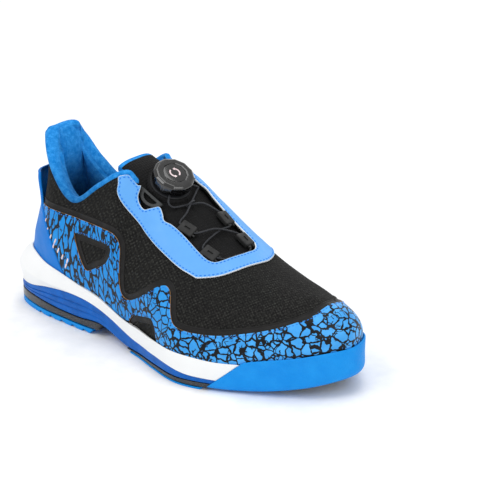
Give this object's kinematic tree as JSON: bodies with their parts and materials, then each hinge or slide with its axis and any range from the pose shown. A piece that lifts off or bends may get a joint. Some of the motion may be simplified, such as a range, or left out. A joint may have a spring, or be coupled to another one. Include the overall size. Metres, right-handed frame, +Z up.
{
  "type": "bowling shoe",
  "caption": "Low bowling shoe for the right foot: knitted upper, printed mudguard, moulded heel counter, layered sole with heel and forefoot pads, and a turn-dial cable closure.",
  "frame": {"origin": "middle of the footprint box, on the floor", "axes": "+X towards the toe, +Y towards the medial (inner) side, +Z up"},
  "size_m": [0.3008, 0.1154, 0.1361],
  "materials": {
    "knit": "black ballistic knit with a fine speckle, soft sheen",
    "tongue_fabric": "black ballistic fabric",
    "print_film": "azure welded film with black crackle lines, satin",
    "eyestay_film": "light blue smooth film with dashed stitching",
    "counter_tpu": "blue moulded plastic, satin gloss",
    "flock": "azure brushed lining and binding",
    "foam": "pale open foam",
    "board": "pressed fibre board",
    "eva_white": "white moulded foam, satin",
    "eva_royal": "royal blue moulded foam, satin",
    "carrier": "near-black rubber",
    "rubber_blue": "bright blue textured rubber",
    "hook_tape": "black hook tape",
    "steel": "bright spring steel",
    "dial_black": "glossy black",
    "dial_inner": "dark grey moulding",
    "guide": "charcoal moulding",
    "d_guide": "grey moulding",
    "cable": "black coated cable"
  },
  "bodies": {
    "shoe": {"heel_pad": "rubber_blue", "heel_hook_tape": "hook_tape", "heel_carrier": "carrier", "forefoot_pad": "rubber_blue", "forefoot_hook_tape": "hook_tape", "forefoot_carrier": "carrier", "sidewall": "eva_royal", "midsole": "eva_white", "shank": "steel", "toe_wrap": "rubber_blue", "lasting_board": "board", "sockliner": "flock", "upper_shell": "knit", "print_overlay": "print_film", "eyestay": "eyestay_film", "heel_counter": "counter_tpu", "toe_puff": "board", "heel_stiffener": "board", "collar_binding": "flock", "collar_foam": "foam", "collar_lining": "flock", "tongue_cover": "tongue_fabric", "tongue_foam": "foam", "tongue_lining": "flock", "dial_shield": "tongue_fabric", "dial_base": "dial_inner", "dial_housing": "dial_inner", "lace_cable": "cable", "lateral_guide_1": "guide", "lateral_guide_2": "guide", "medial_guide_1": "guide", "medial_guide_2": "guide", "lateral_d_guide": "d_guide", "medial_d_guide": "d_guide", "cable_keeper": "cable"},
    "dial_post": {"dial_post": "steel", "detent_spring": "steel"},
    "knob": {"dial_knob": "dial_black", "knob_cap": "dial_black", "ratchet_disc": "dial_inner"},
    "spool": {"dial_spool": "dial_inner"}
  },
  "joints": [
    {"name": "dial_pull", "type": "slide", "parent": "shoe", "child": "dial_post", "axis": [0.4861, -0.1392, 0.8627], "range_m": [0, 0.0025]},
    {"name": "dial_turn", "type": "hinge", "parent": "dial_post", "child": "knob", "pos_m": [-0.01343, 0.0063, 0.12055], "axis": [0.4861, -0.1392, 0.8627], "continuous": true},
    {"name": "spool_turn", "type": "hinge", "parent": "shoe", "child": "spool", "pos_m": [-0.01343, 0.0063, 0.12055], "axis": [0.4861, -0.1392, 0.8627], "continuous": true}
  ],
  "couplings": [
    {"joint": "spool_turn", "follows": "dial_turn", "ratio": 1}
  ]
}
